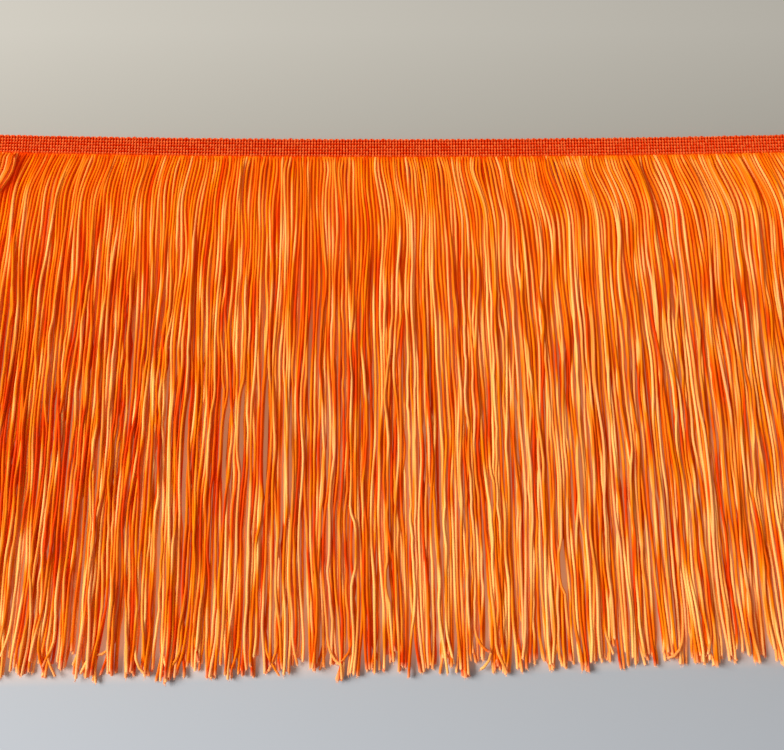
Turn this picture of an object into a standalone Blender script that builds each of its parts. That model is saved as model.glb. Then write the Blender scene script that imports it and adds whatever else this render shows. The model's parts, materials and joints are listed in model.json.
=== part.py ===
"""A cut length of chainette fringe trim, lying flat with its fringe towards -Y.

A narrow knitted braid is the heading. Two layers of cord strands hang from its
lower edge, one strand from each knitted course, and each layer has its own root
strip. The strands leave the braid in a slight outward bend, run down side by
side, draw together into loose clumps and end in blunt, uneven cuts.
"""

import random

import bmesh
import bpy

MM = 0.001

# The braid
COURSES = 280
COURSE_PITCH = 1.132 * MM
TRIM_LENGTH = COURSES * COURSE_PITCH
BRAID_DEPTH = 5.8 * MM
BRAID_RIBS = 5
BRAID_VALLEY = 1.45 * MM
BRAID_CREST = 1.85 * MM
BRAID_STATIONS = 24
BOW_DEPTH = 2.0 * MM

# The root strips, parted from the braid and from each other
GAP = 0.3 * MM
ROOT_DEPTH = 1.5 * MM
ROOTS_PER_BACK_POINT = 5

# The strands
STRAND_WIDTH = 1.15 * MM
STRAND_HEIGHT = 0.85 * MM
STRAND_SPACING_LEAST = 1.42 * MM
DROP_MIDDLE = 192.5 * MM
DROP_TAPER = -0.0236
SHORTEST_BY = 7.0 * MM
STATIONS = tuple(drop * MM for drop in (6, 14, 27, 72, 116, 156, 206))

# The outward bend just below the braid, from place to place along it: how far
# the strands move sideways, and the drops between which they do so
BENDS = (
    {"x": -158 * MM, "reach": -6.0 * MM, "start": -3 * MM, "end": 22 * MM},
    {"x": -140 * MM, "reach": -5.1 * MM, "start": -7 * MM, "end": 18 * MM},
    {"x": -90 * MM, "reach": -3.2 * MM, "start": -6 * MM, "end": 20 * MM},
    {"x": -30 * MM, "reach": 0.0 * MM, "start": -2 * MM, "end": 25 * MM},
    {"x": 40 * MM, "reach": 4.2 * MM, "start": 1 * MM, "end": 30 * MM},
    {"x": 90 * MM, "reach": 5.9 * MM, "start": -4 * MM, "end": 27 * MM},
    {"x": 158 * MM, "reach": 7.8 * MM, "start": -6 * MM, "end": 25 * MM},
)

# Below the bend all strands lean a little, and fan out from each other
LEAN = 0.010
FAN_PER_METRE = 0.23

# A lock of strands at the left end stands proud of the rest just below the braid
LOCK_WIDTH = 13 * COURSE_PITCH
LOCK_EDGE = 3.0 * MM
LOCK_TOP = 10.0 * MM
LOCK_REACH = 14.0 * MM

# How the strands wander and clump below the bend
LOOSE_FROM = 15.0 * MM
LOOSE_TO = 110.0 * MM
WANDER = 0.62 * MM
WANDER_KEPT = 0.55
CLUMP_SIZES = (2, 3, 3, 4, 5)
CLUMP_PULL = 0.34

LAYERS = (
    {"name": "fringe_lower", "bottom": 0.0, "lock_rise": 0.0, "first_course": 1, "seed": 11},
    {
        "name": "fringe_upper",
        "bottom": STRAND_HEIGHT + GAP,
        "lock_rise": 1.5 * MM,
        "first_course": 0,
        "seed": 23,
    },
)
STRANDS_PER_LAYER = COURSES // len(LAYERS)

# The finishes
BRAID_ROUGHNESS = 0.7
CORD_ROUGHNESS = 0.62
BRAID_COLOUR = (0.66, 0.055, 0.006, 1.0)
CORD_COLOURS = {
    "fringe_lower": (0.72, 0.11, 0.008, 1.0),
    "fringe_upper": (0.88, 0.22, 0.022, 1.0),
}


def clear_scene():
    """Empty the scene before the model is made."""
    for thing in list(bpy.data.objects):
        bpy.data.objects.remove(thing, do_unlink=True)


def matte_material(name, colour, roughness):
    """A plain yarn finish for one sub-part."""
    material = bpy.data.materials.new(name)
    material.use_nodes = True
    shader = material.node_tree.nodes["Principled BSDF"]
    shader.inputs["Base Color"].default_value = colour
    shader.inputs["Roughness"].default_value = roughness
    shader.inputs["Metallic"].default_value = 0.0
    material.diffuse_color = colour
    return material


def object_from(bm, name, material):
    """Turn a finished bmesh into a named object at the origin."""
    bmesh.ops.recalc_face_normals(bm, faces=bm.faces[:])
    mesh = bpy.data.meshes.new(name)
    bm.to_mesh(mesh)
    bm.free()
    mesh.materials.append(material)
    thing = bpy.data.objects.new(name, mesh)
    bpy.context.scene.collection.objects.link(thing)
    return thing


def bow(x):
    """How far the braid curves towards +Y at this place along it."""
    share = x / (TRIM_LENGTH / 2)
    return BOW_DEPTH * share * share


def smooth_step(value, start, end):
    """Ease from 0 at start to 1 at end."""
    share = min(max((value - start) / (end - start), 0.0), 1.0)
    return share * share * (3.0 - 2.0 * share)


def bend(root_x, drop):
    """Sideways move of a strand in the outward bend, between the table's two nearest rows."""
    for left, right in zip(BENDS, BENDS[1:]):
        if root_x <= right["x"] or right is BENDS[-1]:
            break
    share = (root_x - left["x"]) / (right["x"] - left["x"])
    reach, start, end = (
        left[column] + (right[column] - left[column]) * share
        for column in ("reach", "start", "end")
    )
    begun = smooth_step(0.0, start, end)
    return reach * (smooth_step(drop, start, end) - begun) / (1.0 - begun)


def lock_share(root_x, drop):
    """How much a strand belongs to the proud lock at the left end, from 0 to 1."""
    inward = root_x + TRIM_LENGTH / 2
    across = 1.0 - smooth_step(inward, LOCK_WIDTH - LOCK_EDGE, LOCK_WIDTH)
    along = 1.0 - smooth_step(abs(drop - LOCK_TOP), 0.0, LOCK_REACH)
    return across * along


def course_x(course):
    """Place of a knitted course along the braid."""
    return (course + 0.5 - COURSES / 2) * COURSE_PITCH


def clumps(rng, count):
    """Cut a row of strands into neighbouring groups, as lists of their numbers."""
    groups = []
    start = 0
    while start < count:
        end = min(start + rng.choice(CLUMP_SIZES), count)
        groups.append(range(start, end))
        start = end
    return groups


def drawn_together(rng, row, pull):
    """Draw each clump of a row towards its own middle."""
    drawn = list(row)
    for group in clumps(rng, len(row)):
        middle = sum(row[k] for k in group) / len(group)
        for k in group:
            drawn[k] += (middle - row[k]) * pull
    return drawn


def kept_apart(row):
    """Push neighbours sideways until none is nearer than the least spacing."""
    spaced = sorted(row)
    middle = len(spaced) // 2
    for k in range(middle + 1, len(spaced)):
        spaced[k] = max(spaced[k], spaced[k - 1] + STRAND_SPACING_LEAST)
    for k in range(middle - 1, -1, -1):
        spaced[k] = min(spaced[k], spaced[k + 1] - STRAND_SPACING_LEAST)
    return spaced


def layer_rows(first_course, seed):
    """Strand centres across one layer, a row for the roots and one for each station."""
    rng = random.Random(seed)
    roots = [course_x(first_course + len(LAYERS) * k) for k in range(STRANDS_PER_LAYER)]
    strays = [0.0] * STRANDS_PER_LAYER
    rows = [roots]
    for drop in STATIONS:
        loose = smooth_step(drop, LOOSE_FROM, LOOSE_TO)
        row = []
        for k, x in enumerate(roots):
            strays[k] = strays[k] * WANDER_KEPT + rng.gauss(0.0, WANDER)
            slant = LEAN + FAN_PER_METRE * x
            row.append(x + bend(x, drop) + slant * drop + strays[k] * loose)
        rows.append(kept_apart(drawn_together(rng, row, CLUMP_PULL * loose)))
    return rows


def strand_drop(rng, root_x):
    """Cut length of one strand: longest at the left, uneven everywhere."""
    longest = DROP_MIDDLE + DROP_TAPER * root_x
    return longest - SHORTEST_BY * rng.random() * rng.random()


def strand_stops(rows, k, drop):
    """The strand's (drop, x) stops below its root, cut where it ends."""
    stops = []
    before = 0.0
    for row, above, station in zip(rows[1:], rows, STATIONS):
        if station >= drop:
            share = (drop - before) / (station - before)
            stops.append((drop, above[k] + (row[k] - above[k]) * share))
            break
        stops.append((station, row[k]))
        before = station
    return stops


def section(bm, x, y, bottom):
    """The three corners of a strand: flat side down, ridge up."""
    half = STRAND_WIDTH / 2
    left = bm.verts.new((x - half, y, bottom))
    right = bm.verts.new((x + half, y, bottom))
    ridge = bm.verts.new((x, y, bottom + STRAND_HEIGHT))
    return left, right, ridge


def grow_strand(bm, root, root_x, front_y, layer, stops):
    """Extend a strand from its root corners through its stops to a blunt end."""
    ring = root
    for drop, x in stops:
        rise = layer["lock_rise"] * lock_share(root_x, drop)
        following = section(bm, x, front_y - drop, layer["bottom"] + rise)
        for a in range(3):
            b = (a + 1) % 3
            bm.faces.new((ring[a], ring[b], following[b], following[a]))
        ring = following
    bm.faces.new(ring)


def fill_between(bm, near, far):
    """Fill the band between two rows of corners, stepping along the row that lags."""
    i = 0
    j = 0
    while i < len(near) - 1 or j < len(far) - 1:
        far_done = j == len(far) - 1
        near_done = i == len(near) - 1
        if far_done or (not near_done and near[i + 1].co.x <= far[j + 1].co.x):
            bm.faces.new((near[i], near[i + 1], far[j]))
            i += 1
        else:
            bm.faces.new((near[i], far[j + 1], far[j]))
            j += 1


def back_row(bm, xs, offset, z):
    """Corners along the back edge of a root strip."""
    return [bm.verts.new((x, bow(x) + offset, z)) for x in xs]


def make_fringe_layer(layer):
    """One layer of the fringe: a root strip with a strand from every second course."""
    bm = bmesh.new()
    rng = random.Random(layer["seed"] + 1)
    rows = layer_rows(layer["first_course"], layer["seed"])
    name = layer["name"]
    bottom = layer["bottom"]
    top = bottom + STRAND_HEIGHT
    back_offset = -BRAID_DEPTH / 2 - GAP
    front_offset = back_offset - ROOT_DEPTH
    ends = (-TRIM_LENGTH / 2, TRIM_LENGTH / 2)

    low_front = [bm.verts.new((ends[0], bow(ends[0]) + front_offset, bottom))]
    high_front = [bm.verts.new((ends[0], bow(ends[0]) + front_offset, top))]
    for k, x in enumerate(rows[0]):
        front_y = bow(x) + front_offset
        root = section(bm, x, front_y, bottom)
        bm.faces.new((low_front[-1], root[0], root[2], high_front[-1]))
        low_front += root[:2]
        high_front.append(root[2])
        stops = strand_stops(rows, k, strand_drop(rng, x))
        grow_strand(bm, root, x, front_y, layer, stops)
    low_front.append(bm.verts.new((ends[1], bow(ends[1]) + front_offset, bottom)))
    high_front.append(bm.verts.new((ends[1], bow(ends[1]) + front_offset, top)))
    bm.faces.new((low_front[-2], low_front[-1], high_front[-1], high_front[-2]))

    back_xs = [ends[0]] + rows[0][ROOTS_PER_BACK_POINT::ROOTS_PER_BACK_POINT] + [ends[1]]
    low_back = back_row(bm, back_xs, back_offset, bottom)
    high_back = back_row(bm, back_xs, back_offset, top)
    fill_between(bm, low_front, low_back)
    fill_between(bm, high_front, high_back)
    fill_between(bm, low_back, high_back)
    bm.faces.new((low_front[0], high_front[0], high_back[0], low_back[0]))
    bm.faces.new((low_front[-1], high_front[-1], high_back[-1], low_back[-1]))
    return object_from(bm, name, matte_material(name, CORD_COLOURS[name], CORD_ROUGHNESS))


def braid_profile():
    """The (y, z) outline of the braid: a flat underside and a rib for each knitted row."""
    half = BRAID_DEPTH / 2
    rib = BRAID_DEPTH / BRAID_RIBS
    outline = [(-half, 0.0), (half, 0.0), (half, BRAID_VALLEY)]
    for k in range(BRAID_RIBS):
        start = half - k * rib
        outline.append((start - rib / 3, BRAID_CREST))
        outline.append((start - rib * 2 / 3, BRAID_CREST))
        outline.append((start - rib, BRAID_VALLEY))
    return outline


def make_heading():
    """The knitted braid: its ribbed outline carried along the bowed line."""
    bm = bmesh.new()
    outline = braid_profile()
    sides = len(outline)
    before = None
    for k in range(BRAID_STATIONS + 1):
        x = (k / BRAID_STATIONS - 0.5) * TRIM_LENGTH
        ring = [bm.verts.new((x, y + bow(x), z)) for y, z in outline]
        if before is None:
            bm.faces.new(ring)
        else:
            for a in range(sides):
                b = (a + 1) % sides
                bm.faces.new((before[a], before[b], ring[b], ring[a]))
        before = ring
    bm.faces.new(before)
    return object_from(bm, "heading", matte_material("heading", BRAID_COLOUR, BRAID_ROUGHNESS))


def main():
    clear_scene()
    make_heading()
    for layer in LAYERS:
        make_fringe_layer(layer)


main()
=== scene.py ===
import json
import math
import random

import bpy
import numpy as np
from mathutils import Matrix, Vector

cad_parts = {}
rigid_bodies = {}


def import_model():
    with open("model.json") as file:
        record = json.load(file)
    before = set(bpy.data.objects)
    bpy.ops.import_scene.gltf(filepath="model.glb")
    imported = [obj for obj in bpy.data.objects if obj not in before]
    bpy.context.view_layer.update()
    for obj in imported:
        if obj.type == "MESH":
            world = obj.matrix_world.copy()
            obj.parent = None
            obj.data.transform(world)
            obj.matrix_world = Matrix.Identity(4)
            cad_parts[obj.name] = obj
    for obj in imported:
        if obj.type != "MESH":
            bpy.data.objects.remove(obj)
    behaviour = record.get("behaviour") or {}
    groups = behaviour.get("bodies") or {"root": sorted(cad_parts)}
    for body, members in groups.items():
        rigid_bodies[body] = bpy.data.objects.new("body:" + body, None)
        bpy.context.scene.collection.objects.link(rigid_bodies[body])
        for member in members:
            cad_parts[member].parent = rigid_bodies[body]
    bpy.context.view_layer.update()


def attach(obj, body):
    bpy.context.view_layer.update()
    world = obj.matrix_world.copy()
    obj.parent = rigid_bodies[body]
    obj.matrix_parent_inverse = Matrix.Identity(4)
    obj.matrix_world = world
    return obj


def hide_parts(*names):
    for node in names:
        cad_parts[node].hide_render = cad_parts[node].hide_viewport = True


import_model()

bl_info = {
    "name": "Chainette Fringe Trim",
    "version": (1, 0, 0),
    "blender": (4, 5, 0),
    "location": "View3D > Sidebar > Fringe",
    "description": "Knits the braid and lays the cord legs of a cut length of chainette fringe",
    "category": "Add Mesh",
}

MM = 0.001

# The trim's own sizes, the same as in its solids
COURSES = 280
COURSE_PITCH = 1.132 * MM
TRIM_LENGTH = COURSES * COURSE_PITCH
BRAID_DEPTH = 5.8 * MM
BOW_DEPTH = 2.0 * MM
GAP = 0.3 * MM
ROOT_DEPTH = 1.5 * MM
BRAID_TOP = BRAID_DEPTH / 2
ROOT_LINE = -BRAID_DEPTH / 2 - GAP - ROOT_DEPTH
STRAND_SPACING_LEAST = 1.42 * MM
DROP_MIDDLE = 192.5 * MM
DROP_TAPER = -0.0236
SHORTEST_BY = 7.0 * MM
STATIONS = tuple(drop * MM for drop in (6, 14, 27, 72, 116, 156, 206))
BENDS = tuple(
    {"x": x * MM, "reach": reach * MM, "start": start * MM, "end": end * MM}
    for x, reach, start, end in (
        (-158, -6.0, -3, 22),
        (-140, -5.1, -7, 18),
        (-90, -3.2, -6, 20),
        (-30, 0.0, -2, 25),
        (40, 4.2, 1, 30),
        (90, 5.9, -4, 27),
        (158, 7.8, -6, 25),
    )
)
LEAN = 0.010
FAN_PER_METRE = 0.23
LOOSE_FROM = 15.0 * MM
LOOSE_TO = 110.0 * MM
WANDER = 0.62 * MM
WANDER_KEPT = 0.55
CLUMP_SIZES = (2, 3, 3, 4, 5)
CLUMP_PULL = 0.34
LAYERS = (
    {"node": "fringe_lower", "first_course": 1, "seed": 11},
    {"node": "fringe_upper", "first_course": 0, "seed": 23},
)
STRANDS_PER_LAYER = COURSES // len(LAYERS)

# The proud lock of cords at the left end, narrower and more sharply bent than in its solids
LOCK_WIDTH = 12.6 * MM
LOCK_EDGE = 0.3 * MM
LOCK_TOP = 12.0 * MM
LOCK_REACH = 27.0 * MM
LOCK_RISE = 1.6 * MM
LOCK_BEND = -9.0 * MM
LOCK_RETURN = -3.0 * MM
LOCK_BEND_FROM = 6.0 * MM
LOCK_BEND_TO = 26.0 * MM
LOCK_SETTLED = 70.0 * MM

# How finely a cord leg is followed
DROP_STEP = 2.8 * MM
DROPS = np.arange(0.0, 206.0 * MM, DROP_STEP)

# A course's two legs: the lower one lies calmer and more evenly than the upper one
LEGS = ({"freedom": 0.4, "evenness": 0.75}, {"freedom": 1.0, "evenness": 0.3})

# Waves of the legs: shared by neighbours in grooves and ripples, or each leg's own
GROOVE = 0.62 * MM
RIPPLE = 0.58 * MM
OWN_LONG_WAVE = 0.24 * MM
OWN_SHORT_WAVE = 0.18 * MM
CRIMP = 0.22 * MM
CROSSING_LEGS = 0.10
CROSSING_REACH = 1.7 * MM

# The cut ends: gathered in little groups from a drop in mm, some curled and a few hooked
CUT_UNEVEN = 1.8 * MM
GATHER_STARTS = (158, 184)
GATHER_END = 200 * MM
GATHER_SHARES = (0.25, 0.75)
GROUP_DRIFT = 0.9 * MM
GROUP_LENGTHS = (-5.0 * MM, 1.6 * MM)
CURLED_LEGS = 0.3
CURL_FROM = 13 * MM
CURL_BEYOND = 3 * MM
CURL_REACH = 1.8 * MM
HOOKED_LEGS = 0.03
HOOK_LIFTS = (0.3 * MM, 0.8 * MM, 1.0 * MM, 0.8 * MM)

# The pile: crossing cords meet a little inside each other, as they press flat
PILE_SEED = 3
PILE_TOP = 3.1 * MM
CONTACT = 0.84
CLEARANCE = 1.06
UPPER_LAYER_RANK = 0.3
CHANCE_RANK = 0.5
SWELL = 0.3 * MM

# Long slits through which the table shows: place across, drop at the middle, half length
SLITS = tuple(
    {"x": x * MM, "drop": drop * MM, "half": half * MM}
    for x, drop, half in (
        (-87.6, 124, 38),
        (-75.2, 118, 46),
        (-61.0, 116, 36),
        (-55.1, 106, 30),
        (-46.3, 108, 46),
        (-37.0, 111, 52),
        (-30.6, 83, 42),
        (-23.0, 144, 26),
        (-13.6, 149, 20),
        (-1.4, 160, 12),
        (14.7, 143, 28),
        (35.9, 131, 16),
        (59.6, 156, 15),
        (67.8, 128, 33),
        (97.8, 141, 27),
        (139.0, 150, 20),
    )
)
SLIT_EDGE = 0.9 * MM
SLIT_REACH = 14.0 * MM

# A leg's tone, from 0 (deepest) to 1 (lightest): its mean, its slopes and its chance part. The
# slope across is a painted sheen, lighter to the right; the slope to the ends is a painted
# highlight; the lock gets a painted highlight, and painted shade falls below the braid, at the
# root and beside the lock
TONE_MEAN = 0.49
PAINTED_SHEEN_ACROSS = 0.085
PAINTED_HIGHLIGHT_AT_ENDS = 0.13
PAINTED_SHADE_BELOW_BRAID = -0.08
PAINTED_SHADE_AT_ROOT = -0.25
TONE_OF_LEG = 0.16
TONE_ALONG_LEG = 0.22
PAINTED_HIGHLIGHT_OF_LOCK = 0.2
PAINTED_SHADOW_BESIDE_LOCK = 0.6

# Patches of painted shade and painted light: deeper where the cords lie lower, paler where they
# lie prouder
PAINTED_SHADE_AND_LIGHT_PATCHES = (
    {"x": -138 * MM, "drop": 118 * MM, "across": 14 * MM, "along": 25 * MM, "tone": -0.46},
    {"x": -136 * MM, "drop": 186 * MM, "across": 18 * MM, "along": 26 * MM, "tone": 0.22},
    {"x": -140 * MM, "drop": 30 * MM, "across": 15 * MM, "along": 34 * MM, "tone": 0.06},
)

# A leg starts inside the braid's lowest row, at these heights, and is pale at its cut end
TUCK = 0.7 * MM
TUCK_HEIGHTS = (0.58 * MM, 0.74 * MM)
CUT_PALE = 0.45
CUT_PALE_LENGTH = 1.4 * MM
LAST_STEP_LEAST = 0.8 * MM

# Cut fibres: how many stand out of one cut, how far in mm, and how wide apart
FIBRES_PER_CUT = 5
FIBRE_REACH = (0.4, 1.0)
FIBRE_SPREAD = 0.34

# The painted shade in a stitch's valley, and the colours of the painted glow that lifts the yarns'
# shade, where the cords lie loose and where they lie close below the braid
VALLEY_SHADE = 0.16
PAINTED_GLOW_LOOSE = (0.53, 0.016, 0.0, 1.0)
PAINTED_GLOW_NEAR_BRAID = (1.0, 0.03, 0.0, 1.0)

# How the braid's yarns lie: the stitches' loop is given by half width, half length and rise
BRAID_SINK = 0.15 * MM
STITCH_LOOP = (0.25 * MM, 0.31 * MM, 0.26 * MM)
STITCH_HEIGHT = 1.42 * MM
STITCH_JITTER = 0.03 * MM
STITCH_TURN = (0.08, 0.08, 0.14)
# The stitches take random tones between the usual and the lit braid colour: raised yarn in painted
# light
STITCH_TONES = (0.42, 0.78)
WEFT_HEIGHT = 0.78 * MM
WEFT_WAVE = 0.10 * MM
WEFT_INSET = 0.30 * MM
WEFT_UNEVEN = 0.06 * MM
WEFT_FOOT = 0.2 * MM
WEFT_ARC = 0.42
BACK_YARN = 0.72 * MM
BACK_STATIONS = 141

# The table and the light
TABLE_SIZE = 1.6
TABLE_HEIGHT = -0.12 * MM
KEY_PLACE = Vector((-1.15, -0.03, 0.95))
KEY_SIZE = 0.75
WARM_WHITE = (1.0, 0.97, 0.92)


def length_setting(name, description, default):
    """A length that the panel shows."""
    return bpy.props.FloatProperty(
        name=name, description=description, default=default, unit="LENGTH"
    )


def colour_setting(name, description, default):
    """A colour that the panel shows."""
    return bpy.props.FloatVectorProperty(
        name=name, description=description, default=default, subtype="COLOR"
    )


class FringeSizes(bpy.types.PropertyGroup):
    """Sizes of the yarns and of how they lie."""

    cord: length_setting("Cord", "Thickness of one chainette cord", 1.02 * MM)
    cord_sides: bpy.props.IntProperty(
        name="Cord sides", description="Faces round one cord", default=6, min=3, max=8
    )
    chain_pitch: length_setting(
        "Chain pitch", "Length of one stitch of the chainette cord", 0.92 * MM
    )
    fibre: length_setting("Loose fibre", "Thickness of a loose fibre at a cut end", 0.16 * MM)
    braid_rows: bpy.props.IntProperty(
        name="Braid rows", description="Rows of chain stitch along the braid", default=6
    )
    stitch_yarn: length_setting(
        "Stitch yarn", "Thickness of the yarn of the chain stitches", 0.36 * MM
    )
    weft_yarn: length_setting(
        "Weft yarn", "Thickness of the yarn laid up and down through the braid", 0.62 * MM
    )
    seed: bpy.props.IntProperty(
        name="Seed", description="Choice of the chance lie of the cords", default=5
    )


class FringeColours(bpy.types.PropertyGroup):
    """Colours of the yarns, as the light falls on them."""

    cord_light: colour_setting("Cord, light", "Lightest cord", (0.98, 0.54, 0.15))
    cord_middle: colour_setting("Cord, middle", "Usual cord", (0.80, 0.215, 0.001))
    cord_deep: colour_setting("Cord, deep", "Deepest cord", (0.62, 0.045, 0.0))
    cord_cut: colour_setting("Cut end", "Cut fibre ends", (1.0, 0.50, 0.24))
    # The braid's colours hold painted light: a painted highlight on the stitches' heads, painted
    # light on raised yarn, painted shade on yarn sunk under the stitches
    braid_highlight: colour_setting("Braid, pale", "Heads of the stitches", (1.0, 0.36, 0.11))
    braid_light: colour_setting("Braid, light", "Raised braid yarn", (1.0, 0.25, 0.05))
    braid_middle: colour_setting("Braid, middle", "Usual braid yarn", (0.76, 0.05, 0.0))
    braid_shaded: colour_setting("Braid, deep", "Sunk braid yarn", (0.6, 0.015, 0.0))
    # The glow is painted light: the yarns' emission lifts their shade to a deep neon red
    glow: bpy.props.FloatProperty(
        name="Glow",
        description="Strength of the neon dye's own glow",
        default=0.16,
        min=0.0,
        max=1.0,
    )


class FringeStage(bpy.types.PropertyGroup):
    """Camera, table and light."""

    view_centre: length_setting(
        "View centre", "Place down the fringe that the picture's middle looks at", -91.0 * MM
    )
    view_distance: length_setting("View distance", "Camera to view centre", 315 * MM)
    view_tilt: bpy.props.FloatProperty(
        name="View tilt",
        description="Lean of the camera from straight above",
        default=math.radians(11.3),
        subtype="ANGLE",
    )
    lens: bpy.props.FloatProperty(
        name="Lens", description="Focal length in millimetres on a 36 mm wide sensor", default=39.0
    )
    key_power: bpy.props.FloatProperty(
        name="Key light", description="Power of the soft light from the left", default=36.0
    )
    sky: bpy.props.FloatProperty(
        name="Room light", description="Strength of the light from all round", default=0.28
    )


def bow(x):
    """How far the braid curves towards +Y at this place along it."""
    return BOW_DEPTH * (x / (TRIM_LENGTH / 2)) ** 2


def smooth_step(value, start, end):
    """Ease from 0 at start to 1 at end."""
    share = np.clip((value - start) / (end - start), 0.0, 1.0)
    return share * share * (3.0 - 2.0 * share)


def bend(root_x, drop):
    """Sideways move of a strand in the outward bend below the braid."""
    places = [row["x"] for row in BENDS]
    reach, start, end = (
        np.interp(root_x, places, [row[column] for row in BENDS])
        for column in ("reach", "start", "end")
    )
    begun = smooth_step(0.0, start, end)
    return reach * (smooth_step(drop, start, end) - begun) / (1.0 - begun)


def late_bend(drop):
    """The bend of the proud lock: straight at first, then far out, then part way back."""
    swing = smooth_step(drop, LOCK_BEND_FROM, LOCK_BEND_TO)
    return LOCK_BEND * swing - LOCK_RETURN * smooth_step(drop, LOCK_BEND_TO, LOCK_SETTLED)


def lock_across(root_x):
    """How much a strand belongs to the lock at the left end, from 0 to 1."""
    inward = root_x + TRIM_LENGTH / 2
    return 1.0 - smooth_step(inward, LOCK_WIDTH - LOCK_EDGE, LOCK_WIDTH)


def lock_share(root_x, drop):
    """How proud a strand of the lock stands at this drop, from 0 to 1."""
    lifted = smooth_step(drop, -2 * MM, 3 * MM)
    return lock_across(root_x) * lifted * (1.0 - smooth_step(drop, LOCK_TOP, LOCK_REACH))


def lock_painted_shadow(root_x, drop):
    """Painted shadow: how much deeper the colour is made in the groove beside the lock, where the
    proud lock's shade falls.
    """
    beside = root_x + TRIM_LENGTH / 2 - LOCK_WIDTH
    if beside < 0.0:
        return np.zeros(np.shape(drop))
    near = 1.0 - smooth_step(beside, 1 * MM, 9 * MM)
    return PAINTED_SHADOW_BESIDE_LOCK * near * (1.0 - smooth_step(drop, 8 * MM, 30 * MM))


def painted_shade_and_light(root_x, drops):
    """What the painted shade below the braid and at the root, and the patches of painted shade and
    light, add to a leg's tone.
    """
    tone = PAINTED_SHADE_BELOW_BRAID * (1.0 - smooth_step(drops, 4 * MM, 24 * MM))
    tone = tone + PAINTED_SHADE_AT_ROOT * (1.0 - smooth_step(drops, -0.5 * MM, 1.5 * MM))
    for patch in PAINTED_SHADE_AND_LIGHT_PATCHES:
        aside = (root_x - patch["x"]) / patch["across"]
        along = (drops - patch["drop"]) / patch["along"]
        tone = tone + patch["tone"] * np.exp(-(aside**2) - along**2)
    return tone


def course_x(course):
    """Place of a knitted course along the braid."""
    return (course + 0.5 - COURSES / 2) * COURSE_PITCH


def clumps(rng, count):
    """Cut a row into neighbouring groups, as ranges of their numbers."""
    groups = []
    start = 0
    while start < count:
        end = min(start + rng.choice(CLUMP_SIZES), count)
        groups.append(range(start, end))
        start = end
    return groups


def drawn_together(rng, row, pull):
    """Draw each clump of a row towards its own middle."""
    drawn = list(row)
    for group in clumps(rng, len(row)):
        middle = sum(row[k] for k in group) / len(group)
        for k in group:
            drawn[k] += (middle - row[k]) * pull
    return drawn


def kept_apart(row):
    """Push neighbours sideways until none is nearer than the least spacing."""
    spaced = sorted(row)
    middle = len(spaced) // 2
    for k in range(middle + 1, len(spaced)):
        spaced[k] = max(spaced[k], spaced[k - 1] + STRAND_SPACING_LEAST)
    for k in range(middle - 1, -1, -1):
        spaced[k] = min(spaced[k], spaced[k + 1] - STRAND_SPACING_LEAST)
    return spaced


def layer_rows(first_course, seed):
    """Strand centres across one layer, a row for the roots and one for each station."""
    rng = random.Random(seed)
    roots = [course_x(first_course + len(LAYERS) * k) for k in range(STRANDS_PER_LAYER)]
    strays = [0.0] * STRANDS_PER_LAYER
    rows = [roots]
    for drop in STATIONS:
        loose = smooth_step(drop, LOOSE_FROM, LOOSE_TO)
        row = []
        for k, x in enumerate(roots):
            strays[k] = strays[k] * WANDER_KEPT + rng.gauss(0.0, WANDER)
            slant = LEAN + FAN_PER_METRE * x
            row.append(x + bend(x, drop) + slant * drop + strays[k] * loose)
        rows.append(kept_apart(drawn_together(rng, row, CLUMP_PULL * loose)))
    return rows


def course_lines():
    """Each course's line at every drop, and its cut length, as in the solids."""
    lines = np.zeros((COURSES, len(DROPS)))
    cuts = np.zeros(COURSES)
    knots = (0.0,) + STATIONS
    for layer in LAYERS:
        rows = layer_rows(layer["first_course"], layer["seed"])
        rng = random.Random(layer["seed"] + 1)
        for k, x in enumerate(rows[0]):
            course = layer["first_course"] + len(LAYERS) * k
            longest = DROP_MIDDLE + DROP_TAPER * x
            cuts[course] = longest - SHORTEST_BY * rng.random() * rng.random()
            slant = LEAN + FAN_PER_METRE * x
            strays = [row[k] - x - bend(x, t) - slant * t for row, t in zip(rows, knots)]
            stray = smoothed(np.interp(DROPS, knots, strays), 3.0)
            lines[course] = x + bend(x, DROPS) + slant * DROPS + stray
            lines[course] += lock_across(x) * (late_bend(DROPS) - bend(x, DROPS))
    return lines, cuts


def smoothed(values, sigma, axis=-1):
    """Gaussian smoothing along one axis, with the edge values carried on."""
    reach = int(math.ceil(3 * sigma))
    offsets = np.arange(-reach, reach + 1)
    weights = np.exp(-0.5 * (offsets / sigma) ** 2)
    weights /= weights.sum()
    axis %= values.ndim
    padding = [(reach, reach) if a == axis else (0, 0) for a in range(values.ndim)]
    padded = np.pad(values, padding, mode="edge")
    count = values.shape[axis]
    total = np.zeros_like(values)
    for offset, weight in zip(offsets, weights):
        total += weight * np.take(padded, np.arange(count) + reach + offset, axis=axis)
    return total


def soft_noise(rng, shape, *sigmas):
    """Random waves of unit size, smoothed by each sigma along its axis."""
    noise = rng.standard_normal(shape)
    for axis, sigma in enumerate(sigmas):
        if sigma:
            noise = smoothed(noise, sigma, axis)
    return noise / noise.std()


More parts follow.
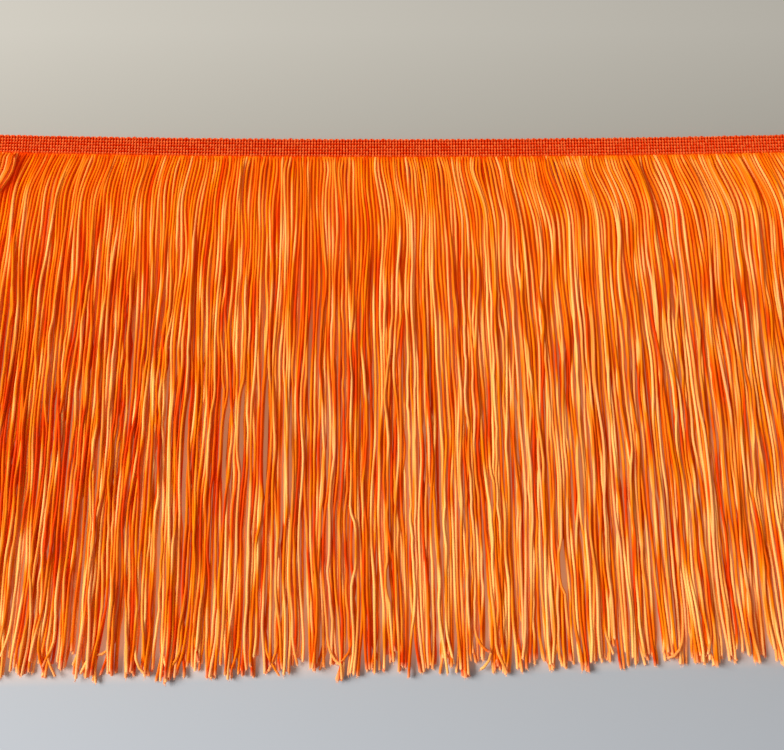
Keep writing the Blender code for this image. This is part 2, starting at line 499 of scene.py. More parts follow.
def lay_legs(seed):
    """Both legs of every course: places across (courses x legs x drops) and cut lengths."""
    rng = np.random.default_rng(seed)
    lines, cuts = course_lines()
    shape = (COURSES, len(LEGS), len(DROPS))
    loose = smooth_step(DROPS, 8 * MM, 75 * MM)
    early = smooth_step(DROPS, -1 * MM, 7 * MM)
    across = np.repeat(lines[:, None, :], len(LEGS), axis=1)
    across[:, 0] += 0.5 * COURSE_PITCH * (1.0 - 0.2 * loose)
    grooves = soft_noise(rng, (COURSES, len(DROPS)), 1.5, 9.0)
    ripples = soft_noise(rng, (COURSES, len(DROPS)), 1.1, 3.5)
    shared = GROOVE * loose * grooves + RIPPLE * early * ripples
    own = OWN_LONG_WAVE * loose * soft_noise(rng, shape, 0, 0, 9.0)
    own += OWN_SHORT_WAVE * (0.3 * early + 0.7 * loose) * soft_noise(rng, shape, 0, 0, 1.6)
    for leg, habit in enumerate(LEGS):
        across[:, leg] += habit["freedom"] * (shared + own[:, leg])
    across += strays_of(rng, shape)
    for leg, habit in enumerate(LEGS):
        spread_out(across[:, leg], habit["evenness"] * loose)
    crimp = CRIMP * rng.random(shape[:2] + (1,)) ** 2
    across += crimp * (0.2 + 0.8 * loose) * soft_noise(rng, shape, 0, 0, 0.8)
    part_at_slits(across, lines)
    lengths = np.repeat(cuts[:, None], len(LEGS), axis=1)
    lengths = lengths - CUT_UNEVEN * rng.random(lengths.shape) ** 3
    gather_ends(rng, across, lengths)
    return across, lengths


def strays_of(rng, shape):
    """A few legs that cross over their neighbours and come back."""
    moves = np.zeros(shape)
    for course in np.flatnonzero(rng.random(shape[0]) < CROSSING_LEGS):
        leg = rng.integers(shape[1])
        middle = rng.uniform(50, 185) * MM
        width = rng.uniform(16, 36) * MM
        reach = rng.normal(0.0, CROSSING_REACH)
        moves[course, leg] += reach * np.exp(-(((DROPS - middle) / width) ** 2))
    return moves


def spread_out(across, share):
    """Close part of the widest gaps, by moving each leg towards an even spread."""
    for step in np.flatnonzero(share):
        order = np.argsort(across[:, step])
        row = across[order, step]
        ramp = np.linspace(row[0], row[-1], len(row))
        even = ramp + smoothed(row - ramp, 6.0)
        across[order, step] += (even - row) * share[step]
    across[:] = smoothed(across, 0.8)


def part_at_slits(across, lines):
    """Hold the legs off the middle of each slit, fully at its middle and not past its ends."""
    for slit in SLITS:
        step = int(np.argmin(np.abs(DROPS - slit["drop"])))
        course = int((lines[:, step] < slit["x"]).sum())
        slant = LEAN + FAN_PER_METRE * course_x(course)
        middle = slit["x"] + slant * (DROPS - slit["drop"])
        opened = np.exp(-(((DROPS - slit["drop"]) / slit["half"]) ** 4))
        edge = SLIT_EDGE * opened - SLIT_REACH * (1.0 - opened)
        across[:course] = np.minimum(across[:course], middle - edge)
        across[course:] = np.maximum(across[course:], middle + edge)


def gather_ends(rng, across, lengths):
    """Draw the cut ends into little groups, uneven in length, some with a curl."""
    picker = random.Random(int(rng.integers(1 << 30)))
    start = 0
    while start < COURSES:
        group = slice(start, start + picker.choice(CLUMP_SIZES))
        start = group.stop
        gathering = smooth_step(DROPS, picker.uniform(*GATHER_STARTS) * MM, GATHER_END)
        share = gathering * picker.uniform(*GATHER_SHARES)
        middle = across[group].mean(axis=(0, 1)) + share * picker.gauss(0.0, GROUP_DRIFT)
        across[group] += (middle - across[group]) * share
        lengths[group] += picker.uniform(*GROUP_LENGTHS) * picker.random()
    for course, leg in np.argwhere(rng.random(lengths.shape) < CURLED_LEGS):
        end = lengths[course, leg]
        tail = smooth_step(DROPS, end - CURL_FROM, end + CURL_BEYOND)
        across[course, leg] += rng.normal(0.0, CURL_REACH) * tail**2


def pile_up(across, lengths, cord):
    """Height of every leg at every drop, each resting on those laid before it."""
    rng = np.random.default_rng(PILE_SEED)
    courses, legs, steps = across.shape
    rank = np.zeros((courses, legs))
    rank += np.arange(legs)
    rank[LAYERS[1]["first_course"] :: len(LAYERS)] += UPPER_LAYER_RANK
    rank += rng.uniform(0.0, CHANCE_RANK, rank.shape)
    order = np.argsort(rank.ravel())
    contact = CONTACT * cord
    flat = across.reshape(-1, steps)
    ends = lengths.ravel()
    heights = np.full(flat.shape, cord / 2)
    for step, drop in enumerate(DROPS):
        laid_x = np.full(len(order), -1.0)
        laid_z = np.zeros(len(order))
        for place, leg in enumerate(order):
            if ends[leg] + 2 * DROP_STEP < drop:
                continue
            apart = np.abs(laid_x - flat[leg, step])
            near = apart < contact
            if near.any():
                rest = laid_z[near] + np.sqrt(contact**2 - apart[near] ** 2)
                heights[leg, step] = min(max(cord / 2, rest.max()), PILE_TOP)
            laid_x[place] = flat[leg, step]
            laid_z[place] = heights[leg, step]
    heights = smoothed(heights, 1.5).reshape(across.shape)
    swell = np.maximum(soft_noise(rng, (courses, steps), 2.2, 7.0), 0.0)
    heights += SWELL * smooth_step(DROPS, 0.0, 12 * MM) * swell[:, None, :]
    return np.maximum(heights, cord / 2 * CLEARANCE)


def yarn_lines(lines):
    """A mesh of bare edges, one run for each yarn, with the yarns' values at its points."""
    points = np.concatenate([line["points"] for line in lines])
    edges = []
    start = 0
    for line in lines:
        count = len(line["points"])
        run = np.arange(start, start + count - 1)
        edges.append(np.stack([run, run + 1], axis=1))
        start += count
    mesh = bpy.data.meshes.new("yarn_lines")
    mesh.vertices.add(len(points))
    mesh.vertices.foreach_set("co", points.astype(np.float32).ravel())
    edges = np.concatenate(edges)
    mesh.edges.add(len(edges))
    mesh.edges.foreach_set("vertices", edges.astype(np.int32).ravel())
    for name in ("girth", "turn", "tone", "blush_and_lock_highlight", "cut", "painted_glow_near_braid"):
        values = [np.broadcast_to(line.get(name, 0.0), len(line["points"])) for line in lines]
        layer = mesh.attributes.new(name, "FLOAT", "POINT")
        layer.data.foreach_set("value", np.concatenate(values).astype(np.float32))
    mesh.update()
    return mesh


class TreeMaker:
    """Small helper to place and join the nodes of one node tree."""

    def __init__(self, tree):
        self.tree = tree

    def add(self, kind, *inputs, **settings):
        """Place a node, set its properties, and join or set its inputs in order."""
        node = self.tree.nodes.new(kind)
        for name, value in settings.items():
            setattr(node, name, value)
        for socket, value in zip(node.inputs, inputs):
            self.feed(socket, value)
        return node

    def number(self, operation, *values):
        """The result of one step of arithmetic."""
        return self.add("ShaderNodeMath", *values, operation=operation).outputs[0]

    def stored(self, name):
        """A number that the mesh stores under this name, in a geometry tree."""
        return self.add("GeometryNodeInputNamedAttribute", name, data_type="FLOAT").outputs[0]

    def painted(self, name):
        """A number that the mesh stores under this name, in a material."""
        return self.add("ShaderNodeAttribute", attribute_name=name).outputs["Fac"]

    def fade(self, value, start, end):
        """A share that runs from 0 to 1 as the value runs from start to end."""
        return self.add("ShaderNodeMapRange", value, start, end).outputs[0]

    def ramp(self, share, first, last, *between):
        """A colour that runs from the first to the last over a share, through (place, colour)."""
        node = self.add("ShaderNodeValToRGB", share)
        stops = node.color_ramp.elements
        stops[0].color = (*first, 1.0)
        stops[1].color = (*last, 1.0)
        for place, colour in between:
            stops.new(place).color = (*colour, 1.0)
        return node.outputs[0]

    def mix(self, share, first, last):
        """A colour between two others."""
        node = self.add("ShaderNodeMix", data_type="RGBA")
        for place, value in ((0, share), (6, first), (7, last)):
            self.feed(node.inputs[place], value)
        return node.outputs[2]

    def chance(self, reach, seed):
        """A chance vector, within this reach to either side."""
        back = tuple(-value for value in reach)
        node = self.add("FunctionNodeRandomValue", back, reach, data_type="FLOAT_VECTOR")
        self.fill(node, {"Seed": seed})
        return node

    def store(self, geometry, name, value, **settings):
        """The geometry with a value stored on it under this name."""
        node = self.add("GeometryNodeStoreNamedAttribute", geometry, None, name, **settings)
        self.fill(node, {"Value": value})
        return node

    def fill(self, node, values):
        """Join or set a node's inputs by their labels."""
        for label, value in values.items():
            self.feed(node.inputs[label], value)

    def feed(self, socket, value):
        """Join an output, or a node's first one, to a socket, or set the socket's own value."""
        if isinstance(value, bpy.types.Node):
            value = value.outputs[0]
        if isinstance(value, bpy.types.NodeSocket):
            self.tree.links.new(value, socket)
        elif value is not None:
            socket.default_value = value


def geometry_tree(name, sockets):
    """An empty geometry tree with named inputs; gives its maker and the input node."""
    tree = bpy.data.node_groups.new(name, "GeometryNodeTree")
    tree.interface.new_socket("Geometry", in_out="OUTPUT", socket_type="NodeSocketGeometry")
    tree.interface.new_socket("Geometry", in_out="INPUT", socket_type="NodeSocketGeometry")
    for label, kind in sockets:
        tree.interface.new_socket(label, in_out="INPUT", socket_type="NodeSocket" + kind)
    maker = TreeMaker(tree)
    return maker, maker.add("NodeGroupInput")


def close_tree(maker, geometry, material):
    """End a geometry tree in smooth shading, real geometry and its material."""
    smooth = maker.add("GeometryNodeSetShadeSmooth", geometry)
    real = maker.add("GeometryNodeRealizeInstances", smooth)
    painted = maker.add("GeometryNodeSetMaterial", real, None, material)
    maker.add("NodeGroupOutput", painted)


def yarn_tree():
    """Turns runs of edges into round yarns, with a map along and around each."""
    known = bpy.data.node_groups.get("Yarn along its lines")
    if known:
        return known
    sockets = (("Thickness", "Float"), ("Sides", "Int"), ("Material", "Material"))
    maker, given = geometry_tree("Yarn along its lines", sockets)
    curve = maker.add("GeometryNodeMeshToCurve", given.outputs["Geometry"])
    upright = maker.add("GeometryNodeSetCurveNormal", curve, mode="Z_UP")
    tilted = maker.add("GeometryNodeSetCurveTilt", upright, None, maker.stored("turn"))
    half = maker.number("MULTIPLY", given.outputs["Thickness"], 0.5)
    radius = maker.number("MULTIPLY", maker.stored("girth"), half)
    run = maker.add("GeometryNodeSplineParameter")
    along = maker.store(tilted, "along", run.outputs["Length"])
    ring = maker.add("GeometryNodeCurvePrimitiveCircle", given.outputs["Sides"], mode="RADIUS")
    maker.fill(ring, {"Radius": 1.0})
    turned = maker.add("GeometryNodeSplineParameter")
    around = maker.store(ring, "around", turned.outputs["Factor"])
    tube = maker.add("GeometryNodeCurveToMesh", along, around)
    maker.fill(tube, {"Scale": radius, "Fill Caps": True})
    doubled = maker.number("MULTIPLY_ADD", maker.stored("around"), 2.0, -1.0)
    mirrored = maker.number("ABSOLUTE", doubled)
    pair = maker.add("ShaderNodeCombineXYZ", maker.stored("along"), mirrored)
    mapped = maker.store(tube, "UVMap", pair, data_type="FLOAT2", domain="CORNER")
    close_tree(maker, mapped, given.outputs["Material"])
    return maker.tree


def stitch_tree():
    """Sets a grid of chain stitches along the bowed braid, each a little different."""
    sockets = (
        ("Courses", "Int"),
        ("Rows", "Int"),
        ("Course Pitch", "Float"),
        ("Row Pitch", "Float"),
        ("Middle", "Float"),
        ("Height", "Float"),
        ("Bow", "Float"),
        ("Jitter", "Float"),
        ("Seed", "Int"),
        ("Stitch", "Object"),
        ("Material", "Material"),
    )
    maker, inputs = geometry_tree("Chain stitches on the braid", sockets)
    given = inputs.outputs
    number = maker.number
    gaps = number("SUBTRACT", given["Courses"], 1.0)
    width = number("MULTIPLY", given["Course Pitch"], gaps)
    depth = number("MULTIPLY", given["Row Pitch"], number("SUBTRACT", given["Rows"], 1.0))
    grid = maker.add("GeometryNodeMeshGrid", width, depth, given["Courses"], given["Rows"])
    parts = maker.add("ShaderNodeSeparateXYZ", maker.add("GeometryNodeInputPosition"))
    length = number("MULTIPLY", given["Course Pitch"], given["Courses"])
    share = number("DIVIDE", parts.outputs[0], number("MULTIPLY", length, 0.5))
    bowed = number("MULTIPLY", number("MULTIPLY", share, share), given["Bow"])
    up = number("ADD", bowed, given["Middle"])
    offset = maker.add("ShaderNodeCombineXYZ", 0.0, up, given["Height"])
    chance = maker.chance((1.0, 1.0, 1.0), given["Seed"])
    stirred = maker.add("ShaderNodeVectorMath", chance, operation="SCALE")
    maker.fill(stirred, {"Scale": given["Jitter"]})
    moved = maker.add("ShaderNodeVectorMath", offset, stirred, operation="ADD")
    placed = maker.add("GeometryNodeSetPosition", grid, None, None, moved)
    stitch = maker.add("GeometryNodeObjectInfo", given["Stitch"])
    copies = maker.add("GeometryNodeInstanceOnPoints", placed)
    turned = maker.chance(STITCH_TURN, given["Seed"])
    maker.fill(copies, {"Instance": stitch.outputs["Geometry"], "Rotation": turned})
    tone = maker.add("FunctionNodeRandomValue", data_type="FLOAT")
    tone.inputs[2].default_value, tone.inputs[3].default_value = STITCH_TONES
    toned = maker.store(copies, "tone", tone.outputs[1], domain="INSTANCE")
    close_tree(maker, toned, given["Material"])
    return maker.tree


def grown(name, mesh, tree, **values):
    """A plain mesh object: the tree's result on this mesh, with the modifier gone."""
    thing = bpy.data.objects.new(name, mesh)
    bpy.context.scene.collection.objects.link(thing)
    modifier = thing.modifiers.new("Growth", "NODES")
    modifier.node_group = tree
    for item in tree.interface.items_tree:
        label = item.name.lower().replace(" ", "_")
        if item.in_out == "INPUT" and label in values:
            modifier[item.identifier] = values[label]
    graph = bpy.context.evaluated_depsgraph_get()
    result = bpy.data.meshes.new_from_object(
        thing.evaluated_get(graph), preserve_all_data_layers=True, depsgraph=graph
    )
    thing.modifiers.clear()
    thing.data = result
    result.name = name
    return thing


def spun(name, lines, thickness, sides, material):
    """A piece made of round yarns along these lines."""
    values = {"thickness": thickness, "sides": sides, "material": material}
    return grown(name, yarn_lines(lines), yarn_tree(), **values)


def settle(piece, slot, *nodes):
    """Put a finished piece on the trim's one body, and hide the parts of the solids that it stands
    for.
    """
    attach(piece, "root")
    if nodes:
        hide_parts(*nodes)


def shader_group(name, inputs, outputs):
    """An empty shader group with named sockets; gives its maker, input and output nodes."""
    tree = bpy.data.node_groups.new(name, "ShaderNodeTree")
    for label, default in inputs:
        socket = tree.interface.new_socket(label, in_out="INPUT", socket_type="NodeSocketFloat")
        socket.default_value = default
    for label in outputs:
        tree.interface.new_socket(label, in_out="OUTPUT", socket_type="NodeSocketFloat")
    maker = TreeMaker(tree)
    return maker, maker.add("NodeGroupInput"), maker.add("NodeGroupOutput")


def chain_group():
    """Shader group: height and shade of V stitches along a yarn, from its own map."""
    known = bpy.data.node_groups.get("Chain of V stitches")
    if known:
        return known
    maker, given, out = shader_group(
        "Chain of V stitches", (("Pitch", 0.9 * MM), ("Slant", 0.55)), ("Height", "Valley")
    )
    parts = maker.add("ShaderNodeSeparateXYZ", maker.add("ShaderNodeUVMap", uv_map="UVMap"))
    number = maker.number
    along = number("DIVIDE", parts.outputs[0], given.outputs["Pitch"])
    slanted = number("MULTIPLY_ADD", parts.outputs[1], given.outputs["Slant"], along)
    wave = number("SINE", number("MULTIPLY", slanted, 2 * math.pi))
    stitch = number("MULTIPLY_ADD", wave, 0.5, 0.5)
    groove = number("POWER", number("SUBTRACT", 1.0, parts.outputs[1]), 6.0)
    height = number("SUBTRACT", stitch, number("MULTIPLY", groove, 0.6))
    valley = number("SUBTRACT", 1.0, number("POWER", stitch, 0.6))
    maker.fill(out, {"Height": height, "Valley": valley})
    return maker.tree


def yarn_material(name, light, middle, deep, pale, pitch, glow, roughness=0.42, relief=0.055 * MM):
    """Knitted yarn with painted shade in its valleys, pale at a cut end and with a painted
    highlight at a stitch's head, and with a painted glow that lifts its shade.
    """
    known = bpy.data.materials.get(name)
    if known:
        return known
    material = bpy.data.materials.new(name)
    material.use_nodes = True
    tree = material.node_tree
    maker = TreeMaker(tree)
    shader = tree.nodes["Principled BSDF"]
    chain = maker.add("ShaderNodeGroup", node_tree=chain_group())
    maker.fill(chain, {"Pitch": pitch})
    tone = maker.painted("tone")
    dyed = maker.ramp(tone, deep, light, (0.5, middle))
    # A pinkish tint on the lightest legs, which on the lock is a painted highlight
    lightest = maker.number("POWER", tone, 2.5)
    pink_and_highlight_share = maker.number("MULTIPLY", maker.painted("blush_and_lock_highlight"), lightest)
    rosy_and_highlit = maker.mix(pink_and_highlight_share, dyed, (light[0], light[1] * 0.7, light[2] * 0.9, 1.0))
    # Painted shade in the stitches' valleys
    shade = maker.number("MULTIPLY", chain.outputs["Valley"], VALLEY_SHADE)
    valley_shaded = maker.mix(shade, rosy_and_highlit, (deep[0] * 0.8, deep[1] * 0.55, deep[2] * 0.5, 1.0))
    bump = maker.add("ShaderNodeBump")
    maker.fill(bump, {"Strength": 0.8, "Distance": relief, "Height": chain.outputs["Height"]})
    maker.fill(shader, {
        "Base Color": maker.mix(maker.painted("cut"), valley_shaded, (*pale, 1.0)),
        "Normal": bump,
        "Roughness": roughness,
        "Specular IOR Level": 0.02,
        "Sheen Weight": 0.04,
        "Sheen Roughness": 0.4,
        "Sheen Tint": (*light, 1.0),
        # Painted glow: an emission that lifts the shade, stronger near the braid where the cords
        # lie close
        "Emission Color": maker.mix(maker.painted("painted_glow_near_braid"), PAINTED_GLOW_LOOSE, PAINTED_GLOW_NEAR_BRAID),
        "Emission Strength": glow,
    })
    return material


def cord_material(context):
    """The yarn of the cords and of their cut ends."""
    colours = context.scene.fringe_colours
    shades = (colours.cord_light, colours.cord_middle, colours.cord_deep, colours.cord_cut)
    pitch = context.scene.fringe_sizes.chain_pitch
    return yarn_material("Chainette cord", *shades, pitch, colours.glow)


def braid_material(context):
    """The finer yarn of the braid."""
    colours = context.scene.fringe_colours
    shades = (colours.braid_light, colours.braid_middle, colours.braid_shaded, colours.braid_highlight)
    pitch = context.scene.fringe_sizes.stitch_yarn * 2
    return yarn_material(
        "Braid yarn", *shades, pitch, colours.glow, roughness=0.55, relief=0.04 * MM
    )


def leg_line(rng, root, across, heights, length):
    """One leg's points from inside the braid's lowest row to its cut end, with its values."""
    kept = DROPS < length - LAST_STEP_LEAST
    drops = np.append(DROPS[kept], length)
    xs = np.append(across[kept], np.interp(length, DROPS, across))
    zs = np.append(heights[kept], np.interp(length, DROPS, heights))
    start = bow(root) + ROOT_LINE
    points = np.stack([xs, start - drops, zs], axis=1)
    above = points[:1] + np.array([[0.0, TUCK, 0.0]])
    points = np.concatenate([above, points])
    points[:2, 2] = TUCK_HEIGHTS
    drops = np.append(-TUCK, drops)
    count = len(points)
    own = rng.normal(0.0, TONE_OF_LEG) + TONE_ALONG_LEG * soft_noise(rng, (count,), 2.0)
    # Painted light in the tone: a painted sheen across, a painted highlight towards the ends and
    # on the lock, painted shade below the braid, at the root, in patches and beside the lock
    tone = TONE_MEAN + PAINTED_SHEEN_ACROSS * root / (TRIM_LENGTH / 2)
    tone = tone + PAINTED_HIGHLIGHT_AT_ENDS * smooth_step(drops, 110 * MM, 185 * MM)
    varied = 0.6 + 0.4 * smooth_step(drops, 8 * MM, 50 * MM)
    varied = varied + 0.25 * smooth_step(drops, 60 * MM, 130 * MM)
    tone = tone + own * varied + painted_shade_and_light(root, drops)
    tone = tone + PAINTED_HIGHLIGHT_OF_LOCK * lock_across(root) - lock_painted_shadow(root, drops)
    if rng.random() < HOOKED_LEGS:
        hook_end(rng, points)
    return {
        "points": points,
        "girth": rng.uniform(0.94, 1.02) + 0.03 * np.clip(soft_noise(rng, (count,), 2.0), -2, 2),
        "turn": rng.uniform(0.0, 2 * math.pi) + np.cumsum(rng.normal(0.0, 0.12, count)),
        "tone": np.clip(tone, 0.0, 1.0),
        # The lock's cords take a strong pink as a painted highlight; other cords a pinkish tint
        # that differs at random
        "blush_and_lock_highlight": 0.8 if lock_across(root) > 0.5 else rng.random() ** 2,
        "cut": CUT_PALE * smooth_step(drops, length - CUT_PALE_LENGTH, length),
        # Share of the stronger painted glow, near the braid
        "painted_glow_near_braid": 1.0 - smooth_step(drops, 10 * MM, 100 * MM),
    }


def hook_end(rng, points):
    """Turn the last stretch of a leg round to one side, over its neighbours."""
    steps = np.diff(points[-5:, :2], axis=0)
    reach = np.linalg.norm(steps, axis=1)
    heading = np.arctan2(steps[:, 1], steps[:, 0])
    turn = rng.choice((-1.0, 1.0)) * rng.uniform(0.5, 1.5)
    heading += turn * (np.arange(1, len(steps) + 1) / len(steps)) ** 1.5
    moves = np.stack([np.cos(heading), np.sin(heading)], axis=1) * reach[:, None]
    points[-4:, :2] = points[-5, :2] + np.cumsum(moves, axis=0)
    points[-4:, 2] += HOOK_LIFTS


def laid_cords(sizes):
    """Every cord leg's line, by piece, with the node of the solids that the piece stands for."""
    across, lengths = lay_legs(sizes.seed)
    heights = pile_up(across, lengths, sizes.cord)
    roots = np.array([course_x(course) for course in range(COURSES)])
    heights += LOCK_RISE * lock_share(roots[:, None, None], DROPS)
    rng = np.random.default_rng(sizes.seed + 1)
    pieces = []
    for layer in LAYERS:
        courses = range(layer["first_course"], COURSES, len(LAYERS))
        middle = len(courses) // 2
        for side, part in (("left", courses[:middle]), ("right", courses[middle:])):
            name = "cords_" + layer["node"].split("_")[1] + "_" + side
            places = [(course, leg) for course in part for leg in range(len(LEGS))]
            lines = [
                leg_line(rng, roots[at[0]], across[at], heights[at], lengths[at]) for at in places
            ]
            pieces.append((name, layer["node"], lines))
    return pieces


class FRINGE_OT_lay_cords(bpy.types.Operator):
    """Lay the cord legs of the fringe, two from each knitted course"""

    bl_idname = "fringe.lay_cords"
    bl_label = "Lay the cords"

    def execute(self, context):
        sizes = context.scene.fringe_sizes
        for name, node, lines in laid_cords(sizes):
            piece = spun(name, lines, sizes.cord, sizes.cord_sides, cord_material(context))
            settle(piece, "fringe_cord", node)
        return {"FINISHED"}


class FRINGE_OT_fray_ends(bpy.types.Operator):
    """Set the loose fibres at the cut ends of the cords"""

    bl_idname = "fringe.fray_ends"
    bl_label = "Fray the ends"

    def execute(self, context):
        sizes = context.scene.fringe_sizes
        rng = np.random.default_rng(sizes.seed + 3)
        tips = []
        for _, _, lines in laid_cords(sizes):
            for line in lines:
                tips += cut_fibres(rng, line["points"], sizes.cord)
        fibres = spun("cut_fibres", tips, sizes.fibre, 3, cord_material(context))
        settle(fibres, "fringe_cord")
        return {"FINISHED"}


def cut_fibres(rng, points, cord):
    """The few loose fibres that stand out of one cut cord end."""
    end = points[-1]
    ahead = points[-1] - points[-3]
    ahead /= np.linalg.norm(ahead)
    lines = []
    for _ in range(FIBRES_PER_CUT):
        aside = rng.normal(0.0, FIBRE_SPREAD, 3)
        aside[2] = abs(aside[2]) * 0.5
        reach = rng.uniform(*FIBRE_REACH) * MM
        start = end + rng.uniform(-0.3, 0.3, 3) * cord - ahead * 0.3 * MM
        start[2] = max(start[2], 0.1 * MM)
        path = [start + (ahead + aside * share) * reach * share for share in (0.0, 0.55, 1.0)]
        path = np.array(path)
        path[:, 2] = np.maximum(path[:, 2], 0.09 * MM)
        lines.append({
            "points": path,
            "girth": np.array([1.0, 0.9, 0.5]),
            "tone": 0.8,
            "cut": 0.75 + 0.2 * rng.random(),
        })
    return lines


def chain_stitch(sizes):
    """The mesh of one stitch of the braid's chain: a tear-drop loop, rising at its head."""
    ring = 10
    sides = 5
    radius = sizes.stitch_yarn / 2
    angles = np.arange(ring) / ring * 2 * math.pi
    across, along, rise = STITCH_LOOP
    drop_shape = 1.0 + 0.25 * np.cos(angles)
    centres = np.stack(
        [across * np.sin(angles) * drop_shape, along * np.cos(angles), rise * np.cos(angles)],
        axis=1,
    )
    mesh = bpy.data.meshes.new("chain_stitch")
    verts = []
    faces = []
    for k in range(ring):
        ahead = centres[(k + 1) % ring] - centres[k - 1]
        ahead /= np.linalg.norm(ahead)
        side = np.cross(ahead, (0.0, 0.0, 1.0))
        side /= np.linalg.norm(side)
        top = np.cross(side, ahead)
        for s in range(sides):
            turn = 2 * math.pi * s / sides
            verts.append(centres[k] + radius * (math.cos(turn) * side + math.sin(turn) * top))
            nearer = k * sides + s
            beside = k * sides + (s + 1) % sides
            further = (nearer + sides) % (ring * sides)
            opposite = (beside + sides) % (ring * sides)
            faces.append((nearer, further, opposite, beside))
    mesh.from_pydata([tuple(v) for v in verts], [], faces)
    # A painted highlight on the stitch's head, carried in the same value as a cut end's paleness
    pale = 0.5 * np.clip(np.cos(angles), 0.0, 1.0) ** 2
    layer = mesh.attributes.new("cut", "FLOAT", "POINT")
    layer.data.foreach_set("value", np.repeat(pale, sides).astype(np.float32))
    mesh.update()
    return mesh


class FRINGE_OT_knit_braid(bpy.types.Operator):
    """Knit the heading braid: weft loops, chain stitches over them and a back"""

    bl_idname = "fringe.knit_braid"
    bl_label = "Knit the braid"

    def execute(self, context):
        sizes = context.scene.fringe_sizes
        rng = np.random.default_rng(sizes.seed + 2)
        material = braid_material(context)
        depth = BRAID_TOP - ROOT_LINE
        pitch = depth / (sizes.braid_rows - 0.05)
        middle = (BRAID_TOP + ROOT_LINE) / 2 - BRAID_SINK
        wefts = [weft_loop(rng, pair, pitch) for pair in range(COURSES // 2)]
        weft = spun("braid_weft", wefts, sizes.weft_yarn, 5, material)
        settle(weft, "heading_braid", "heading")
        back_rows = 2 * sizes.braid_rows
        backs = [
            back_yarn(rng, middle + (row - (back_rows - 1) / 2) * pitch / 2)
            for row in range(back_rows)
        ]
        back = spun("braid_back", backs, BACK_YARN, 5, material)
        settle(back, "heading_braid", "heading")
        stitch = bpy.data.objects.new("chain_stitch", chain_stitch(sizes))
        chains = grown(
            "braid_stitches",
            bpy.data.meshes.new("empty"),
            stitch_tree(),
            courses=COURSES,
            rows=sizes.braid_rows,
            course_pitch=COURSE_PITCH,
            row_pitch=pitch,
            middle=middle,
            height=STITCH_HEIGHT,
            bow=BOW_DEPTH,
            jitter=STITCH_JITTER,
            seed=sizes.seed,
            stitch=stitch,
            material=material,
        )
        bpy.data.objects.remove(stitch)
        settle(chains, "heading_braid", "heading")
        return {"FINISHED"}


def weft_loop(rng, pair, pitch):
    """A weft yarn up one course, round the braid's top edge and down the next."""
    left = course_x(2 * pair)
    right = course_x(2 * pair + 1)
    top = BRAID_TOP - WEFT_INSET + rng.normal(0.0, WEFT_UNEVEN)
    bottom = ROOT_LINE + WEFT_FOOT
    rise = np.linspace(bottom, top, 16)
    angles = np.linspace(0.0, math.pi, 7)[1:-1]
    arc_x = (left + right) / 2 - (right - left) / 2 * np.cos(angles)
    arc_y = top + (right - left) / 2 * WEFT_ARC * np.sin(angles)
    xs = np.concatenate([np.full(len(rise), left), arc_x, np.full(len(rise), right)])
    ys = np.concatenate([rise, arc_y, rise[::-1]])
    zs = WEFT_HEIGHT + WEFT_WAVE * np.cos((ys - bottom) / pitch * 2 * math.pi)
    points = np.stack([xs, ys + bow(xs), zs], axis=1)
    # Painted shade: the weft takes the shaded braid colour, with a little painted light where it
    # comes up round the top edge
    tone = rng.uniform(0.0, 0.3) * smooth_step(ys, top - 1.0 * MM, top)
    return {"points": points, "girth": 1.0, "tone": tone}


def back_yarn(rng, row_y):
    """A plain ground yarn along the braid's back, at this place across it."""
    xs = np.linspace(-TRIM_LENGTH / 2, TRIM_LENGTH / 2, BACK_STATIONS)
    points = np.stack([xs, row_y + bow(xs), np.full(len(xs), BACK_YARN / 2)], axis=1)
    # Painted shade: the back yarn takes the shaded braid colour
    return {"points": points, "girth": 1.0, "tone": rng.uniform(0.0, 0.1)}


def table_material():
    """A matte pale table, warm above and cooler below the hem in painted light of two colours,
    with the neon cords' bounce light painted on it under the fringe, in its colour and as a glow.
    """
    material = bpy.data.materials.new("Pale table")
    material.use_nodes = True
    tree = material.node_tree
    maker = TreeMaker(tree)
    shader = tree.nodes["Principled BSDF"]
    place = maker.add("ShaderNodeTexCoord")
    x, y, _ = maker.add("ShaderNodeSeparateXYZ", place.outputs["Object"]).outputs
    # Painted light of two colours: the bare table is warm above and cool below the hem
    bare = maker.ramp(
        maker.fade(y, -0.22, 0.05),
        (0.40, 0.43, 0.48),
        (0.43, 0.42, 0.39),
        (0.83, (0.36, 0.348, 0.318)),
    )
    aside = maker.fade(maker.number("ABSOLUTE", x), 0.168, 0.155)
    below_braid = maker.fade(y, -0.006, -0.02)
    hem = maker.number("ADD", y, maker.number("MULTIPLY", x, DROP_TAPER))
    above_hem = maker.fade(hem, -0.198, -0.186)
    under = maker.number("MULTIPLY", maker.number("MULTIPLY", aside, below_braid), above_hem)
    upward = maker.fade(y, -0.192, -0.045)
    # Painted bounce light: the table under the fringe is tinted orange under the cords and pinkish
    # near the hem
    painted_bounce_tint = maker.ramp(
        upward,
        (0.56, 0.40, 0.31),
        (0.60, 0.20, 0.04),
        (0.25, (0.60, 0.36, 0.20)),
        (0.62, (0.60, 0.34, 0.18)),
    )
    # Painted bounce light, as a glow of the table under the fringe
    thrown = maker.ramp(
        upward,
        (0.27, 0.155, 0.105),
        (0.20, 0.03, 0.0),
        (0.08, (0.29, 0.135, 0.06)),
        (0.25, (0.30, 0.14, 0.065)),
        (0.62, (0.28, 0.125, 0.055)),
    )
    spill = maker.add("ShaderNodeVectorMath", thrown, operation="SCALE")
    maker.fill(spill, {"Scale": under})
    maker.fill(shader, {
        "Base Color": maker.mix(under, bare, painted_bounce_tint),
        "Emission Color": spill,
        "Emission Strength": 1.0,
        "Roughness": 0.75,
        "Specular IOR Level": 0.2,
    })
    return material


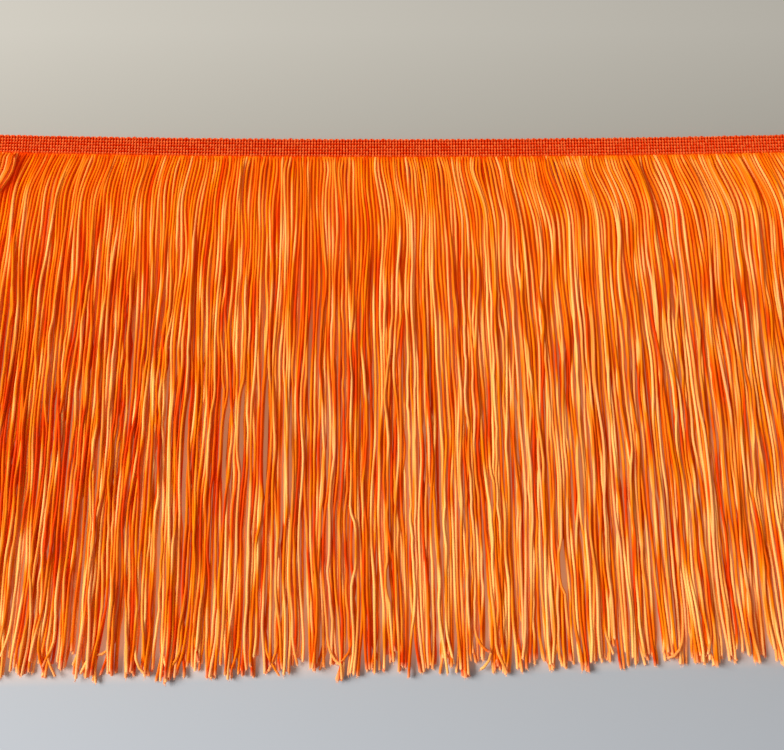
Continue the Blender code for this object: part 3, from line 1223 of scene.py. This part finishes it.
def soft_light(name, place, target, size, power, colour):
    """A square soft light that faces its target."""
    lamp = bpy.data.lights.new(name, "AREA")
    lamp.size = size
    lamp.energy = power
    lamp.color = colour
    thing = bpy.data.objects.new(name, lamp)
    thing.location = place
    aim = target - place
    thing.rotation_euler = aim.to_track_quat("-Z", "Y").to_euler()
    bpy.context.scene.collection.objects.link(thing)


class FRINGE_OT_set_stage(bpy.types.Operator):
    """Set the table, the light and the camera"""

    bl_idname = "fringe.set_stage"
    bl_label = "Set the stage"

    def execute(self, context):
        stage = context.scene.fringe_stage
        bpy.ops.mesh.primitive_plane_add(size=TABLE_SIZE, location=(0.0, 0.0, 0.0))
        table = context.object
        table.name = "table"
        for corner in table.data.vertices:
            corner.co.z = TABLE_HEIGHT
        table.data.materials.append(table_material())

        centre = Vector((0.0, stage.view_centre, 0.0))
        soft_light("key", KEY_PLACE, centre, KEY_SIZE, stage.key_power, WARM_WHITE)
        world = bpy.data.worlds.new("Room")
        world.use_nodes = True
        background = world.node_tree.nodes["Background"].inputs
        background["Color"].default_value = (*WARM_WHITE, 1.0)
        background["Strength"].default_value = stage.sky
        context.scene.world = world
        context.scene.view_settings.view_transform = "Standard"

        lens = bpy.data.cameras.new("camera")
        lens.lens = stage.lens
        lens.sensor_width = 36.0
        lens.clip_start = 0.01
        camera = bpy.data.objects.new("camera", lens)
        back = Vector((0.0, -math.sin(stage.view_tilt), math.cos(stage.view_tilt)))
        camera.location = centre + back * stage.view_distance
        camera.rotation_euler = (stage.view_tilt, 0.0, 0.0)
        context.scene.collection.objects.link(camera)
        context.scene.camera = camera
        return {"FINISHED"}


class FRINGE_PT_panel(bpy.types.Panel):
    """Sizes, colours and steps of the fringe trim"""

    bl_idname = "FRINGE_PT_panel"
    bl_label = "Chainette fringe"
    bl_space_type = "VIEW_3D"
    bl_region_type = "UI"
    bl_category = "Fringe"

    def draw(self, context):
        layout = self.layout
        for group in ("fringe_sizes", "fringe_colours", "fringe_stage"):
            values = getattr(context.scene, group)
            box = layout.box()
            for name in values.bl_rna.properties.keys():
                if name not in ("rna_type", "name"):
                    box.prop(values, name)
        for operator in STEPS:
            layout.operator(operator.bl_idname)


GROUPS = (FringeSizes, FringeColours, FringeStage)
STEPS = (FRINGE_OT_lay_cords, FRINGE_OT_fray_ends, FRINGE_OT_knit_braid, FRINGE_OT_set_stage)


def register():
    """Make the settings, the steps and the panel known."""
    for kind in (*GROUPS, *STEPS, FRINGE_PT_panel):
        bpy.utils.register_class(kind)
    bpy.types.Scene.fringe_sizes = bpy.props.PointerProperty(type=FringeSizes)
    bpy.types.Scene.fringe_colours = bpy.props.PointerProperty(type=FringeColours)
    bpy.types.Scene.fringe_stage = bpy.props.PointerProperty(type=FringeStage)


def unregister():
    """Take away what register() made known."""
    del bpy.types.Scene.fringe_stage
    del bpy.types.Scene.fringe_colours
    del bpy.types.Scene.fringe_sizes
    for kind in reversed((*GROUPS, *STEPS, FRINGE_PT_panel)):
        bpy.utils.unregister_class(kind)


def main():
    """Clear the empty scene's own things, then run every step in order."""
    for thing in list(bpy.data.objects):
        if thing.name in ("Cube", "Light", "Camera"):
            bpy.data.objects.remove(thing)
    register()
    bpy.ops.fringe.lay_cords()
    bpy.ops.fringe.fray_ends()
    bpy.ops.fringe.knit_braid()
    bpy.ops.fringe.set_stage()


if __name__ == "__main__":
    main()
